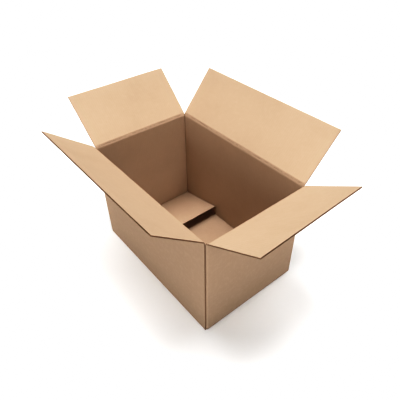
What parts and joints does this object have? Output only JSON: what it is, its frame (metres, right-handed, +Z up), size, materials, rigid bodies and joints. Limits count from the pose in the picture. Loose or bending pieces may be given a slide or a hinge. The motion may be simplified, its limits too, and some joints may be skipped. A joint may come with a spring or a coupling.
{
  "type": "open cardboard box",
  "caption": "Rectangular corrugated cardboard box standing open, with two long and two short top flaps folded outwards and a closed flap bottom.",
  "frame": {"origin": "centre of the box's footprint, on the surface it stands on", "axes": "+X along the long walls, towards the short wall with the widest-open flap; +Y along the short walls, away from the wall that ends in the glued joint; +Z up, out of the open top"},
  "size_m": [0.9309, 0.6781, 0.5473],
  "materials": {
    "kraft_board": "matt brown kraft liner, fluted at cut edges"
  },
  "bodies": {
    "box": {"box_body": "kraft_board"},
    "flap_front": {"top_flap_front": "kraft_board"},
    "flap_back": {"top_flap_back": "kraft_board"},
    "flap_left": {"top_flap_left": "kraft_board"},
    "flap_right": {"top_flap_right": "kraft_board"}
  },
  "joints": [
    {"name": "front_flap_fold", "type": "hinge", "parent": "box", "child": "flap_front", "pos_m": [0, -0.1967, 0.4], "axis": [1, 0, 0], "range_deg": [-141.1, 123.9]},
    {"name": "back_flap_fold", "type": "hinge", "parent": "box", "child": "flap_back", "pos_m": [0, 0.1967, 0.4], "axis": [-1, 0, 0], "range_deg": [-132.5, 132.5]},
    {"name": "left_flap_fold", "type": "hinge", "parent": "box", "child": "flap_left", "pos_m": [-0.3042, 0, 0.3955], "axis": [0, -1, 0], "range_deg": [-137.5, 127.5]},
    {"name": "right_flap_fold", "type": "hinge", "parent": "box", "child": "flap_right", "pos_m": [0.3042, 0, 0.3955], "axis": [0, 1, 0], "range_deg": [-150.7, 114.3]}
  ]
}
